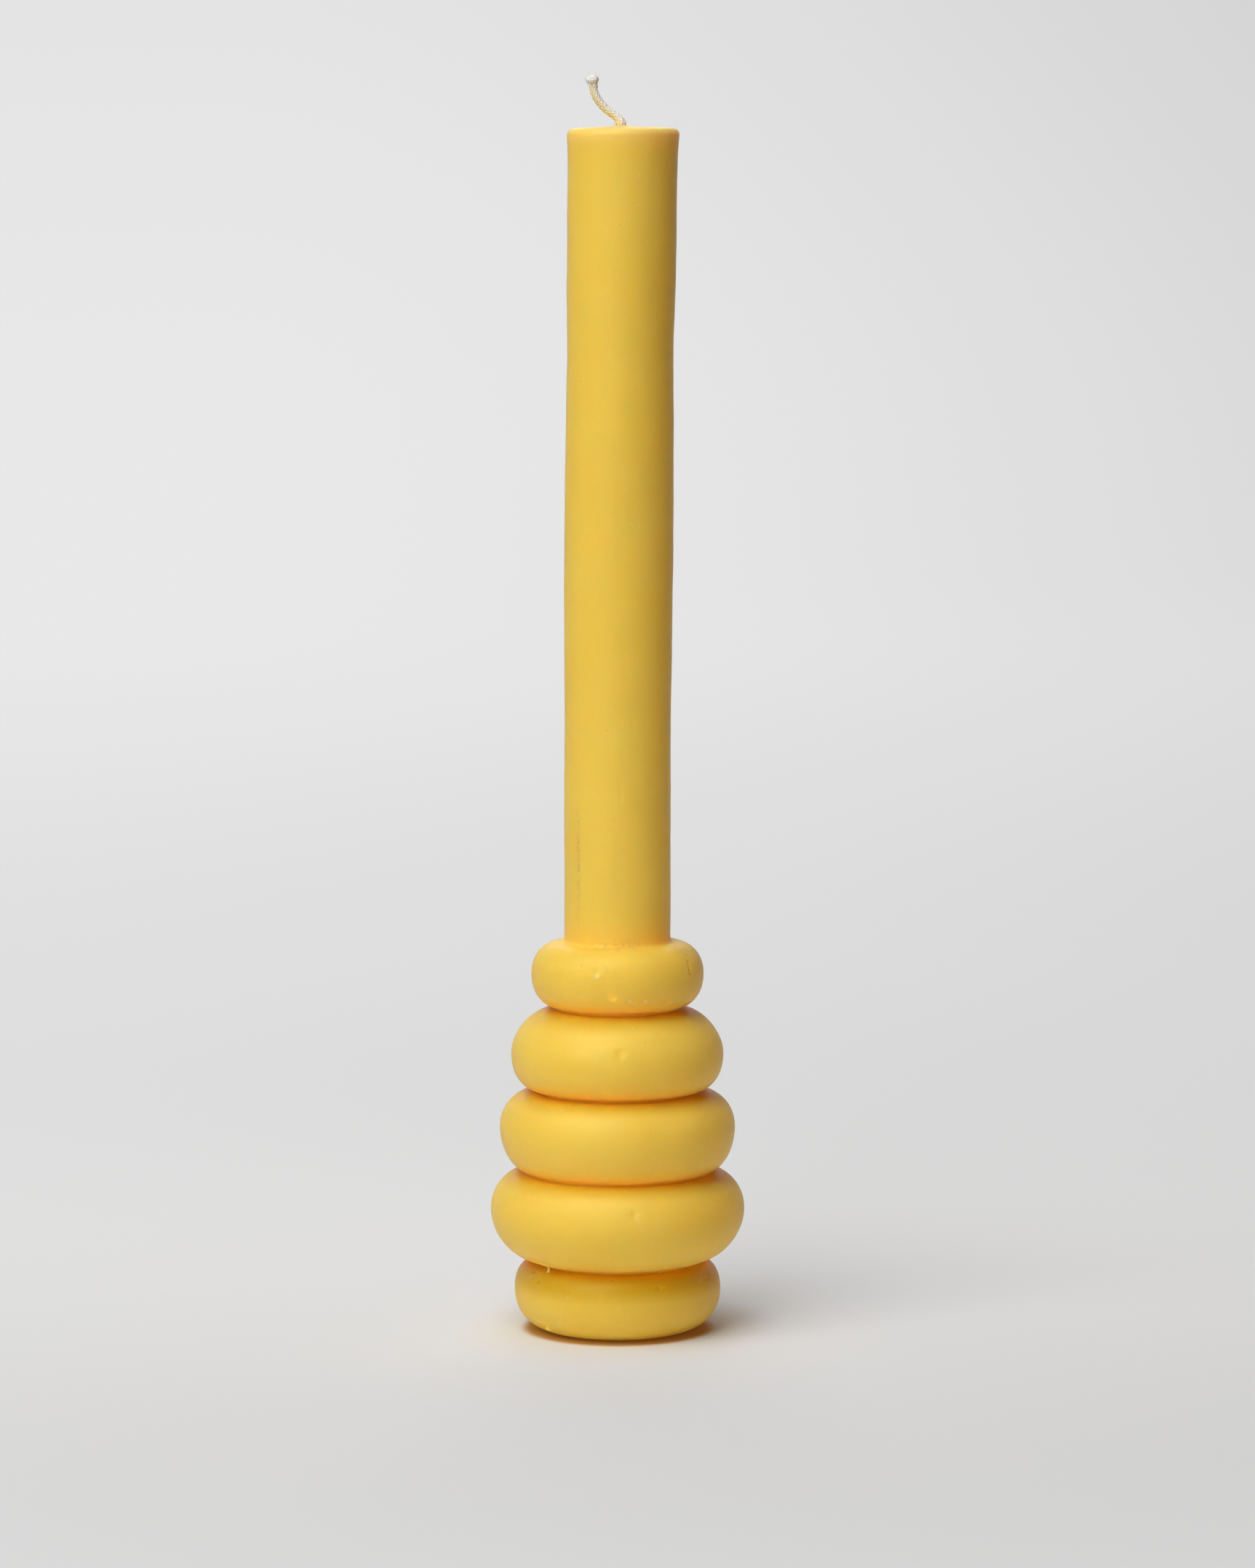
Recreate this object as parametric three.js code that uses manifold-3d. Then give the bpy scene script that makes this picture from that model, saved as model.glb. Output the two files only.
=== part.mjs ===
// Moulded pillar candle: a slim column that rises from five stacked rounded rings, cast as one
// body of wax, with a cotton wick through its whole length.
// Millimetres, +Z up. The origin lies on the table, on the axis that the five rings share.

import * as THREE from "three";
import Module from "manifold-3d";

// Rings of the base, from the lowest to the highest. `radius` is at the fullest height, `below`
// and `above` are the heights under and over it, and `crease` is the radius at the bottom of the
// groove over the ring. A fullness of 2 makes a quarter ellipse, and more makes it squarer.
const RINGS = [
  { radius: 24.4, below: 10.0, above: 6.7, crease: 19.7, fullBelow: 2.2, fullAbove: 2.15 },
  { radius: 30.0, below: 12.1, above: 9.3, crease: 22.2, fullBelow: 1.85, fullAbove: 2.0 },
  { radius: 27.85, below: 10.2, above: 9.0, crease: 19.3, fullBelow: 1.85, fullAbove: 2.1 },
  { radius: 25.05, below: 8.7, above: 11.0, crease: 14.9, fullBelow: 2.1, fullAbove: 1.8 },
  { radius: 20.3, below: 7.9, above: 7.5, crease: 0, fullBelow: 2.05, fullAbove: 2.15 },
];
const CREASE_WIDTH = 0.6;
const BASE_FLAT_RADIUS = 13.8;

// Column
const COLUMN_FOOT_RADIUS = 12.5;
const COLUMN_TOP_RADIUS = 12.7;
const COLUMN_HEIGHT = 191;
const COLUMN_BOW = 1.35;
const FOOT_FILLET = 1.0;
const LIP_FLARE = 0.4;
const LIP_LENGTH = 4;
const TOP_EDGE_RADIUS = 1.6;
const TOP_CROWN = 0.45;

// Wick. The route of its bare end is chosen by hand, as [x, z] from the point where it leaves
// the wax.
const WICK_RADIUS = 1.0;
const WICK_RECESS = 0.5;
const WICK_CLEARANCE = 0.3;
const WICK_EXIT_OFFSET = -0.45;
const WICK_BARE_ROUTE = [
  [-0.05, 0.9],
  [-0.62, 1.75],
  [-1.55, 2.5],
  [-3.35, 3.8],
  [-4.8, 5.3],
  [-5.85, 6.9],
  [-6.4, 8.4],
  [-6.5, 9.8],
  [-6.55, 12.2],
];
const TUFT_LENGTH = 3.3;
const TUFT_RADIUS = 1.6;

// Facets
const TURN_STEPS = 60;
const RING_ARC_STEPS = 6;
const EDGE_ARC_STEPS = 4;
const COLUMN_STEPS = 10;
const WICK_SIDES = 12;
const WICK_STEPS = 60;
const BORE_STEPS = 24;

const WAX = { color: 0xe3c05c, roughness: 0.5, metalness: 0 };
const COTTON = { color: 0xe2cf9f, roughness: 0.9, metalness: 0 };

const baseHeight = RINGS.reduce((sum, ring) => sum + ring.below + ring.above, 0);
const candleHeight = baseHeight + COLUMN_HEIGHT;

// Part of the bow that the column has reached at a height: none at its foot, all at its top.
function bowShare(z) {
  const share = Math.max(0, z - baseHeight) / COLUMN_HEIGHT;
  return share ** 2;
}

// Quarter of a superellipse between a point on the outer wall and one on a level floor or roof.
// The first point is on the wall, and `rise` is negative for a quarter that goes down.
function quarterArc(wallRadius, wallHeight, innerRadius, rise, fullness, steps) {
  const points = [];
  for (let i = 0; i <= steps; i += 1) {
    const angle = ((i / steps) * Math.PI) / 2;
    const reach = Math.cos(angle) ** (2 / fullness);
    const lift = Math.sin(angle) ** (2 / fullness);
    points.push([innerRadius + (wallRadius - innerRadius) * reach, wallHeight + rise * lift]);
  }
  return points;
}

// Outline of the stacked rings as [radius, height], from the flat base to the column's fillet.
function ringOutline() {
  const outline = [];
  let bottom = 0;
  let innerBelow = BASE_FLAT_RADIUS;
  let halfCreaseBelow = 0;
  RINGS.forEach((ring, index) => {
    const isTop = index === RINGS.length - 1;
    const middle = bottom + ring.below;
    const innerAbove = isTop ? COLUMN_FOOT_RADIUS + FOOT_FILLET : ring.crease;
    const halfCreaseAbove = isTop ? 0 : CREASE_WIDTH / 2;
    const fall = -(ring.below - halfCreaseBelow);
    const rise = ring.above - halfCreaseAbove;
    const lower = quarterArc(ring.radius, middle, innerBelow, fall, ring.fullBelow, RING_ARC_STEPS);
    const upper = quarterArc(ring.radius, middle, innerAbove, rise, ring.fullAbove, RING_ARC_STEPS);
    outline.push(...lower.reverse(), ...upper.slice(1));
    bottom += ring.below + ring.above;
    innerBelow = ring.crease;
    halfCreaseBelow = CREASE_WIDTH / 2;
  });
  return outline;
}

// Concave fillet between the top ring's level crest and the column's wall.
function filletOutline() {
  const points = [];
  for (let i = 1; i <= EDGE_ARC_STEPS; i += 1) {
    const angle = ((i / EDGE_ARC_STEPS) * Math.PI) / 2;
    points.push([
      COLUMN_FOOT_RADIUS + FOOT_FILLET * (1 - Math.sin(angle)),
      baseHeight + FOOT_FILLET * (1 - Math.cos(angle)),
    ]);
  }
  return points;
}

// Column's wall radius at a height: a slight taper, and a flare that grows towards the lip.
function columnRadius(z) {
  const share = (z - baseHeight) / COLUMN_HEIGHT;
  const flare = LIP_FLARE * Math.exp((z - candleHeight + TOP_EDGE_RADIUS) / LIP_LENGTH);
  return COLUMN_FOOT_RADIUS + (COLUMN_TOP_RADIUS - COLUMN_FOOT_RADIUS) * share + flare;
}

function columnOutline() {
  const from = baseHeight + FOOT_FILLET;
  const edgeHeight = candleHeight - TOP_CROWN - TOP_EDGE_RADIUS;
  const points = [];
  for (let i = 1; i <= COLUMN_STEPS; i += 1) {
    const share = 1 - (1 - i / COLUMN_STEPS) ** 2;
    const z = from + (edgeHeight - from) * share;
    points.push([columnRadius(z), z]);
  }
  const lipRadius = columnRadius(edgeHeight);
  const shoulder = lipRadius - TOP_EDGE_RADIUS;
  const edge = quarterArc(lipRadius, edgeHeight, shoulder, TOP_EDGE_RADIUS, 2, EDGE_ARC_STEPS);
  points.push(...edge.slice(1));
  for (let i = 1; i <= EDGE_ARC_STEPS; i += 1) {
    const share = 1 - i / EDGE_ARC_STEPS;
    points.push([shoulder * share, candleHeight - TOP_CROWN * share ** 2]);
  }
  return points;
}

// Centre line of the wick, from its recessed lower end to the tip of its tuft.
function wickRoute() {
  const innerHeights = [WICK_RECESS, baseHeight / 3, (baseHeight * 2) / 3, baseHeight];
  for (const share of [0.2, 0.4, 0.6, 0.8, 0.93, 1]) {
    innerHeights.push(baseHeight + COLUMN_HEIGHT * share);
  }
  const reach = COLUMN_BOW + WICK_EXIT_OFFSET;
  const inner = innerHeights.map((z) => new THREE.Vector3(reach * bowShare(z), 0, z));
  const exit = inner[inner.length - 1];
  const bare = WICK_BARE_ROUTE.map(([x, z]) => new THREE.Vector3(exit.x + x, 0, exit.z + z));
  return { inner, bare };
}

// Closed solid of round section along a curve in the XZ plane. `spacing` turns a step's share
// of the count into a share of the length, and `radiusAt` gives the radius at a share.
function sweptSolid(curve, steps, sides, spacing, radiusAt) {
  const positions = [];
  const indices = [];
  for (let i = 0; i <= steps; i += 1) {
    const share = spacing(i / steps);
    const centre = curve.getPointAt(share);
    const tangent = curve.getTangentAt(share);
    const across = new THREE.Vector3(tangent.z, 0, -tangent.x).normalize();
    for (let j = 0; j < sides; j += 1) {
      const angle = (j / sides) * 2 * Math.PI;
      const point = centre.clone().addScaledVector(across, radiusAt(share) * Math.cos(angle));
      positions.push(point.x, point.y + radiusAt(share) * Math.sin(angle), point.z);
    }
  }
  for (let i = 0; i < steps; i += 1) {
    for (let j = 0; j < sides; j += 1) {
      const a = i * sides + j;
      const b = i * sides + ((j + 1) % sides);
      indices.push(a, b, a + sides, b, b + sides, a + sides);
    }
  }
  for (let j = 1; j < sides - 1; j += 1) {
    const last = steps * sides;
    indices.push(0, j + 1, j, last, last + j, last + j + 1);
  }
  const geometry = new THREE.BufferGeometry();
  geometry.setAttribute("position", new THREE.Float32BufferAttribute(positions, 3));
  geometry.setIndex(indices);
  return geometry;
}

// Cutter for the wick's channel. It follows the wick through the wax and runs out straight at
// both ends.
function boreGeometry() {
  const { inner } = wickRoute();
  const run = WICK_RECESS + 2;
  const below = inner[0].clone().setZ(WICK_RECESS - run);
  const above = inner[inner.length - 1].clone();
  above.z += run;
  const curve = new THREE.CatmullRomCurve3([below, ...inner, above], false, "centripetal");
  curve.arcLengthDivisions = 2000;
  const radius = WICK_RADIUS + WICK_CLEARANCE;
  return sweptSolid(curve, BORE_STEPS, WICK_SIDES, (share) => share, () => radius);
}

// Wick with a constant radius, and a frayed tuft at its tip that swells and rounds off.
function wickGeometry() {
  const { inner, bare } = wickRoute();
  const curve = new THREE.CatmullRomCurve3([...inner, ...bare], false, "centripetal");
  curve.arcLengthDivisions = 2000;
  const tuftStart = 1 - TUFT_LENGTH / curve.getLength();
  const radiusAt = (share) => {
    if (share <= tuftStart) {
      return WICK_RADIUS;
    }
    const along = (share - tuftStart) / (1 - tuftStart);
    const swell = THREE.MathUtils.smoothstep(along, 0, 0.6);
    const round = Math.sqrt(1 - 0.96 * THREE.MathUtils.clamp((along - 0.6) / 0.4, 0, 1) ** 2);
    return (WICK_RADIUS + (TUFT_RADIUS - WICK_RADIUS) * swell) * round;
  };
  const spacing = (share) => 1 - (1 - share) ** 2.2;
  return sweptSolid(curve, WICK_STEPS, WICK_SIDES, spacing, radiusAt);
}

function toManifold(library, geometry) {
  const mesh = new library.Mesh({
    numProp: 3,
    vertProperties: new Float32Array(geometry.attributes.position.array),
    triVerts: new Uint32Array(geometry.index.array),
  });
  mesh.merge();
  return new library.Manifold(mesh);
}

function fromManifold(solid) {
  const mesh = solid.getMesh();
  const geometry = new THREE.BufferGeometry();
  geometry.setAttribute("position", new THREE.BufferAttribute(mesh.vertProperties, 3));
  geometry.setIndex(new THREE.BufferAttribute(mesh.triVerts, 1));
  geometry.computeVertexNormals();
  return geometry;
}

// Wax casting: the outline turned about the axis, bowed towards +X, and bored for the wick.
function waxGeometry(library) {
  const outline = [[0, 0], ...ringOutline(), ...filletOutline(), ...columnOutline()];
  const profile = outline.map(([radius, z]) => new THREE.Vector2(radius, z));
  const turned = new THREE.LatheGeometry(profile, TURN_STEPS).rotateX(Math.PI / 2);
  turned.deleteAttribute("uv");
  turned.deleteAttribute("normal");
  const position = turned.attributes.position;
  for (let i = 0; i < position.count; i += 1) {
    position.setX(i, position.getX(i) + COLUMN_BOW * bowShare(position.getZ(i)));
  }
  const body = toManifold(library, turned);
  const bore = toManifold(library, boreGeometry());
  return fromManifold(body.subtract(bore));
}

function namedMesh(name, geometry, finish) {
  const mesh = new THREE.Mesh(geometry, new THREE.MeshStandardMaterial(finish));
  mesh.name = name;
  return mesh;
}

const library = await Module();
library.setup();

const wick = wickGeometry();
wick.computeVertexNormals();

const candle = new THREE.Group();
candle.add(namedMesh("wax_body", waxGeometry(library), WAX));
candle.add(namedMesh("wick", wick, COTTON));

export default candle;
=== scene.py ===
"""Looks of a moulded candle with a ringed base, standing on a plain pale sweep.

Metres, +Z up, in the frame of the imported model: the origin lies on the table, on the axis that
the five rings share. A bearing is an angle about that axis: 0 faces the camera and 90 is right.
"""

import logging
import math
import random
from collections.abc import Callable, Iterator
from dataclasses import dataclass, field
from enum import Enum

import bpy
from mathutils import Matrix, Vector


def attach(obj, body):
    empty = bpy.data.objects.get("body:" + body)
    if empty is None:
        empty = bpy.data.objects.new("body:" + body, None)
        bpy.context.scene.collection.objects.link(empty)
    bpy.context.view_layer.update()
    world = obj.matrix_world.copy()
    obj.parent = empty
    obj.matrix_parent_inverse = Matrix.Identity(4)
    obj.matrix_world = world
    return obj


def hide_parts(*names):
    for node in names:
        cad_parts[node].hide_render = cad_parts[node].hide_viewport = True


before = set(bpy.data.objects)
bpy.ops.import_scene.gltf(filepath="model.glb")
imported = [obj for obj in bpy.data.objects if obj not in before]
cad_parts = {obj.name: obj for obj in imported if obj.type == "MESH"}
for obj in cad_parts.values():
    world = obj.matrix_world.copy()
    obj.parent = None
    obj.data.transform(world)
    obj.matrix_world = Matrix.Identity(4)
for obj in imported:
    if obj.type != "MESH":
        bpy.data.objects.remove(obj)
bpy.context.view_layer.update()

LOG = logging.getLogger("candle")

MM = 0.001

Point = tuple[float, float, float]
Colour = tuple[float, float, float, float]
Outline = list[tuple[float, float]]


class Falloff(Enum):
    """How a pull on the wax fades away from the point that is pulled."""

    ROUND = "SMOOTH"
    POINTED = "SHARP"
    DOMED = "SPHERE"


@dataclass(frozen=True)
class RingSize:
    """One ring of the base, from its lower groove to its upper groove."""

    radius: float
    below: float
    above: float
    crease: float
    full_below: float
    full_above: float


@dataclass(frozen=True)
class Mark:
    """A dent or bump at one place of the wax.

    Lift is how far it stands out, and drop how far it is pulled down. A tint above 0 darkens its
    middle as dirt does, and one below 0 makes it pale.
    """

    name: str
    bearing: float
    height: float
    reach: float
    lift: float
    falloff: Falloff = Falloff.ROUND
    fine: bool = True
    drop: float = 0.0
    tint: float = 0.0


@dataclass(frozen=True)
class Scuff:
    """A rough, dull patch that the mould left, given by its middle and its half sizes."""

    bearing: float
    height: float
    half_width: float
    half_height: float


@dataclass(frozen=True)
class Spots:
    """Small round spots scattered through the wax.

    The painted attribute says how thickly they lie. Cells are those of the scatter to a
    millimetre, size is a spot's radius as a share of a cell, rarity the share of cells that stay
    empty, strength how far the colour goes over to the spot's own, and relief its rise.
    """

    attribute: str
    cells: float
    shift: Point
    size: float
    rarity: float
    strength: float
    relief: float


@dataclass(frozen=True)
class Shade:
    """Where the painted shade of a ring starts and ends, as shares of its half, and its depth."""

    start: float
    end: float
    depth: float


def clamp(value: float) -> float:
    """Keep a value between 0 and 1."""
    return min(1.0, max(0.0, value))


def ease(share: float) -> float:
    """Turn a share from 0 to 1 into one that starts and ends gently."""
    return share * share * (3 - 2 * share)


def deselect_everything() -> None:
    """Leave object mode with nothing selected."""
    if bpy.context.object and bpy.context.object.mode != "OBJECT":
        bpy.ops.object.mode_set(mode="OBJECT")
    bpy.ops.object.select_all(action="DESELECT")


def make_active(piece: bpy.types.Object) -> None:
    """Select one object alone and make it the active one."""
    deselect_everything()
    piece.select_set(True)
    bpy.context.view_layer.objects.active = piece


def select_vertices(piece: bpy.types.Object, wanted: Callable[[Vector], bool]) -> int:
    """Select the vertices of a mesh in edit mode by their place.

    Args:
        piece: the mesh object, in edit mode.
        wanted: says of a vertex's place whether it is selected.

    Returns:
        How many vertices are selected.
    """
    bpy.ops.mesh.select_mode(type="VERT")
    bpy.ops.mesh.select_all(action="DESELECT")
    bpy.ops.object.mode_set(mode="OBJECT")
    count = 0
    for vertex in piece.data.vertices:
        if wanted(vertex.co):
            vertex.select = True
            count += 1
    bpy.ops.object.mode_set(mode="EDIT")
    return count


def apply_modifier(piece: bpy.types.Object, name: str) -> None:
    """Apply one modifier of an object by its name."""
    make_active(piece)
    bpy.ops.object.modifier_apply(modifier=name)


def quarter_arc(
    wall: tuple[float, float], inner: float, rise: float, fullness: float, steps: int
) -> Outline:
    """Trace a quarter superellipse from a point on an outer wall to a level floor or roof.

    Args:
        wall: radius and height of the point on the wall.
        inner: radius where the arc has become level.
        rise: height from the wall's point to the level end, negative for one that goes down.
        fullness: 2 for a quarter ellipse, more for a squarer arc.
        steps: number of straight pieces.

    Returns:
        The points as (radius, height), from the wall inwards.
    """
    radius, height = wall
    points = []
    for step in range(steps + 1):
        angle = step / steps * math.pi / 2
        reach = math.cos(angle) ** (2 / fullness)
        lift = math.sin(angle) ** (2 / fullness)
        points.append((inner + (radius - inner) * reach, height + rise * lift))
    return points


def smooth_between(stations: tuple[tuple[float, float], ...], place: float) -> float:
    """Interpolate a value between stations with an eased step from each one to the next.

    Args:
        stations: (place, value) pairs in rising order of place.
        place: where the value is wanted.

    Returns:
        The value there, held constant outside the stations.
    """
    if place <= stations[0][0]:
        return stations[0][1]
    for (low, before), (high, after) in zip(stations, stations[1:]):
        if place <= high:
            return before + (after - before) * ease((place - low) / (high - low))
    return stations[-1][1]


class Nodes:
    """Short calls for building one material's node tree."""

    def __init__(self, name: str) -> None:
        """Make an empty node material of that name."""
        self.material = bpy.data.materials.new(name)
        self.material.use_nodes = True
        self.tree = self.material.node_tree
        self.tree.nodes.clear()

    def add(self, kind: str, **settings: object) -> bpy.types.Node:
        """Add a node of a kind and set its own properties."""
        node = self.tree.nodes.new(kind)
        for name, value in settings.items():
            setattr(node, name, value)
        return node

    def join(self, source: bpy.types.NodeSocket, target: bpy.types.NodeSocket) -> None:
        """Link an output socket to an input socket."""
        self.tree.links.new(source, target)

    def math(self, operation: str, first: object, second: object = 0.0) -> bpy.types.NodeSocket:
        """Combine two numbers or sockets with a Math node and return its output."""
        node = self.add("ShaderNodeMath", operation=operation)
        for index, value in enumerate((first, second)):
            if isinstance(value, bpy.types.NodeSocket):
                self.join(value, node.inputs[index])
            else:
                node.inputs[index].default_value = value
        return node.outputs[0]

    def ramp(self, value: bpy.types.NodeSocket, low: float, high: float) -> bpy.types.NodeSocket:
        """Turn a value that runs from low to high into a smooth 0 to 1."""
        node = self.add("ShaderNodeMapRange", interpolation_type="SMOOTHSTEP", clamp=True)
        self.join(value, node.inputs["Value"])
        node.inputs["From Min"].default_value = low
        node.inputs["From Max"].default_value = high
        return node.outputs["Result"]

    def mix(self, share: object, first: object, second: object) -> bpy.types.NodeSocket:
        """Mix two colours by a share, each given as a colour or a socket."""
        node = self.add("ShaderNodeMix", data_type="RGBA")
        for index, value in ((0, share), (6, first), (7, second)):
            if isinstance(value, bpy.types.NodeSocket):
                self.join(value, node.inputs[index])
            else:
                node.inputs[index].default_value = value
        return node.outputs[2]

    def noise(
        self, place: bpy.types.NodeSocket, scale: float, detail: float
    ) -> bpy.types.NodeSocket:
        """Return the value of a noise texture at a scale in cycles per unit of place."""
        node = self.add("ShaderNodeTexNoise")
        self.join(place, node.inputs["Vector"])
        node.inputs["Scale"].default_value = scale
        node.inputs["Detail"].default_value = detail
        return node.outputs["Fac"]

    def painted(self, name: str) -> bpy.types.NodeSocket:
        """Return the value of an attribute that is stored on the mesh."""
        return self.add("ShaderNodeAttribute", attribute_name=name).outputs["Fac"]

    def grey(self, level: float) -> Colour:
        """Return a neutral colour of one level."""
        return (level, level, level, 1.0)

    def object_place(self, scale: float, shift: Point = (0.0, 0.0, 0.0)) -> bpy.types.NodeSocket:
        """Return Object coordinates times a scale, moved by a shift."""
        place = self.add("ShaderNodeTexCoord")
        mapping = self.add("ShaderNodeMapping")
        mapping.inputs["Scale"].default_value = (scale, scale, scale)
        mapping.inputs["Location"].default_value = shift
        self.join(place.outputs["Object"], mapping.inputs["Vector"])
        return mapping.outputs["Vector"]

    def finish(self, shader: bpy.types.NodeSocket) -> bpy.types.Material:
        """Send a shader to the material output and return the material."""
        output = self.add("ShaderNodeOutputMaterial")
        self.join(shader, output.inputs["Surface"])
        return self.material


@dataclass(frozen=True)
class WaxFinish:
    """Satin yellow wax that light enters, with bubbles, pits and rough mould marks."""

    name: str = "yellow_wax"
    colour: Colour = (0.945, 0.64, 0.09, 1.0)
    deep_colour: Colour = (0.94, 0.625, 0.08, 1.0)
    # painted shade: the deeper orange under each ring's overhang stands in for the shadow of the
    # ring above
    overhang_shade_colour: Colour = (0.70, 0.41, 0.012, 1.0)
    bubble_colour: Colour = (0.98, 0.82, 0.42, 1.0)
    pit_colour: Colour = (0.40, 0.16, 0.008, 1.0)
    scuff_colour: Colour = (0.78, 0.46, 0.10, 1.0)
    roughness: float = 0.44
    gloss_tint: Colour = (1.0, 1.0, 0.5, 1.0)
    gloss_spread: float = 0.16
    scatter_depth: float = 8.0 * MM
    scatter_colour: Point = (1.0, 0.3, 0.08)
    refraction: float = 1.44
    cloud_scale: float = 0.045
    streak_scale: float = 1.1
    scuff_strength: float = 0.6
    scuff_relief: float = 0.3
    swell_relief: float = 0.10
    grain_relief: float = 0.012
    relief_strength: float = 0.55
    crispness: float = 0.75
    bubbles: Spots = Spots("speck", 0.6, (3.1, 7.7, 1.3), 0.12, 0.4, 0.8, 0.04)
    pits: Spots = Spots("grit", 0.33, (11.3, 2.9, 5.1), 0.05, 0.5, 0.7, -0.12)

    def scatter(self, nodes: Nodes, spots: Spots) -> bpy.types.NodeSocket:
        """Scatter small round spots through the wax.

        Args:
            nodes: the material that is being built.
            spots: the kind of spot.

        Returns:
            A socket that is 1 inside a spot and 0 outside.
        """
        cells = nodes.add("ShaderNodeTexVoronoi", feature="F1")
        nodes.join(nodes.object_place(1 / MM, spots.shift), cells.inputs["Vector"])
        cells.inputs["Scale"].default_value = spots.cells
        inside = nodes.ramp(cells.outputs["Distance"], spots.size, spots.size * 0.5)
        split = nodes.add("ShaderNodeSeparateColor")
        nodes.join(cells.outputs["Color"], split.inputs["Color"])
        thickly = nodes.math("MULTIPLY", nodes.painted(spots.attribute), 1 - spots.rarity)
        empty = nodes.math("SUBTRACT", 1.0, thickly)
        chosen = nodes.math("GREATER_THAN", split.outputs["Red"], empty)
        return nodes.math("MULTIPLY", inside, chosen)

    def build(self) -> bpy.types.Material:
        """Build the wax material.

        Returns:
            The finished material.
        """
        nodes = Nodes(self.name)
        place = nodes.object_place(1 / MM)
        shader = nodes.add("ShaderNodeBsdfPrincipled")

        cloudy = nodes.ramp(nodes.noise(place, self.cloud_scale, 3.0), 0.35, 0.65)
        colour = nodes.mix(cloudy, self.deep_colour, self.colour)
        # painted shade from the "crease" attribute darkens the wax under each overhang
        colour = nodes.mix(nodes.painted("crease"), colour, self.overhang_shade_colour)
        bubbles = self.scatter(nodes, self.bubbles)
        pale_share = nodes.math("MULTIPLY", bubbles, self.bubbles.strength)
        colour = nodes.mix(pale_share, colour, self.bubble_colour)
        pits = self.scatter(nodes, self.pits)
        dark_share = nodes.math("MULTIPLY", pits, self.pits.strength)
        colour = nodes.mix(dark_share, colour, self.pit_colour)

        # a tint below 0 is the pale of marks and, near the top lip, a painted highlight
        tint = nodes.painted("tint")
        dark = nodes.ramp(tint, 0.05, 1.0)
        pale = nodes.ramp(nodes.math("MULTIPLY", tint, -1.0), 0.05, 1.0)
        colour = nodes.mix(dark, colour, self.pit_colour)
        colour = nodes.mix(pale, colour, self.bubble_colour)

        streaks = nodes.noise(
            nodes.object_place(1 / MM, (0.0, 0.0, 4.0)), self.streak_scale, 6.0
        )
        rough = nodes.math("MULTIPLY", nodes.painted("scuff"), nodes.ramp(streaks, 0.46, 0.58))
        scuff_share = nodes.math("MULTIPLY", rough, self.scuff_strength)
        colour = nodes.mix(scuff_share, colour, self.scuff_colour)
        nodes.join(colour, shader.inputs["Base Color"])

        gloss = nodes.math("MULTIPLY_ADD", nodes.noise(place, 0.3, 4.0), self.gloss_spread)
        gloss.node.inputs[2].default_value = self.roughness - self.gloss_spread / 2
        nodes.join(gloss, shader.inputs["Roughness"])

        relief = nodes.math("MULTIPLY", nodes.noise(place, 0.5, 5.0), self.swell_relief)
        for height, strength in (
            (nodes.noise(place, 3.0, 3.0), self.grain_relief),
            (bubbles, self.bubbles.relief),
            (pits, self.pits.relief),
            (rough, self.scuff_relief),
        ):
            relief = nodes.math("ADD", relief, nodes.math("MULTIPLY", height, strength))
        bump = nodes.add("ShaderNodeBump")
        bump.inputs["Strength"].default_value = self.relief_strength
        bump.inputs["Distance"].default_value = 1.0 * MM
        nodes.join(relief, bump.inputs["Height"])
        nodes.join(bump.outputs["Normal"], shader.inputs["Normal"])

        crisp = nodes.math("MAXIMUM", nodes.math("MAXIMUM", bubbles, pits), rough)
        spotted = nodes.math("MULTIPLY", nodes.math("MAXIMUM", dark, pale), 0.5)
        crisp = nodes.math("MAXIMUM", crisp, spotted)
        soft = nodes.math("SUBTRACT", 1.0, nodes.math("MULTIPLY", crisp, self.crispness))
        nodes.join(soft, shader.inputs["Subsurface Weight"])
        shader.subsurface_method = "BURLEY"
        shader.inputs["Subsurface Radius"].default_value = self.scatter_colour
        shader.inputs["Subsurface Scale"].default_value = self.scatter_depth
        shader.inputs["IOR"].default_value = self.refraction
        shader.inputs["Specular IOR Level"].default_value = 0.5
        shader.inputs["Specular Tint"].default_value = self.gloss_tint
        return nodes.finish(shader.outputs["BSDF"])


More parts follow.
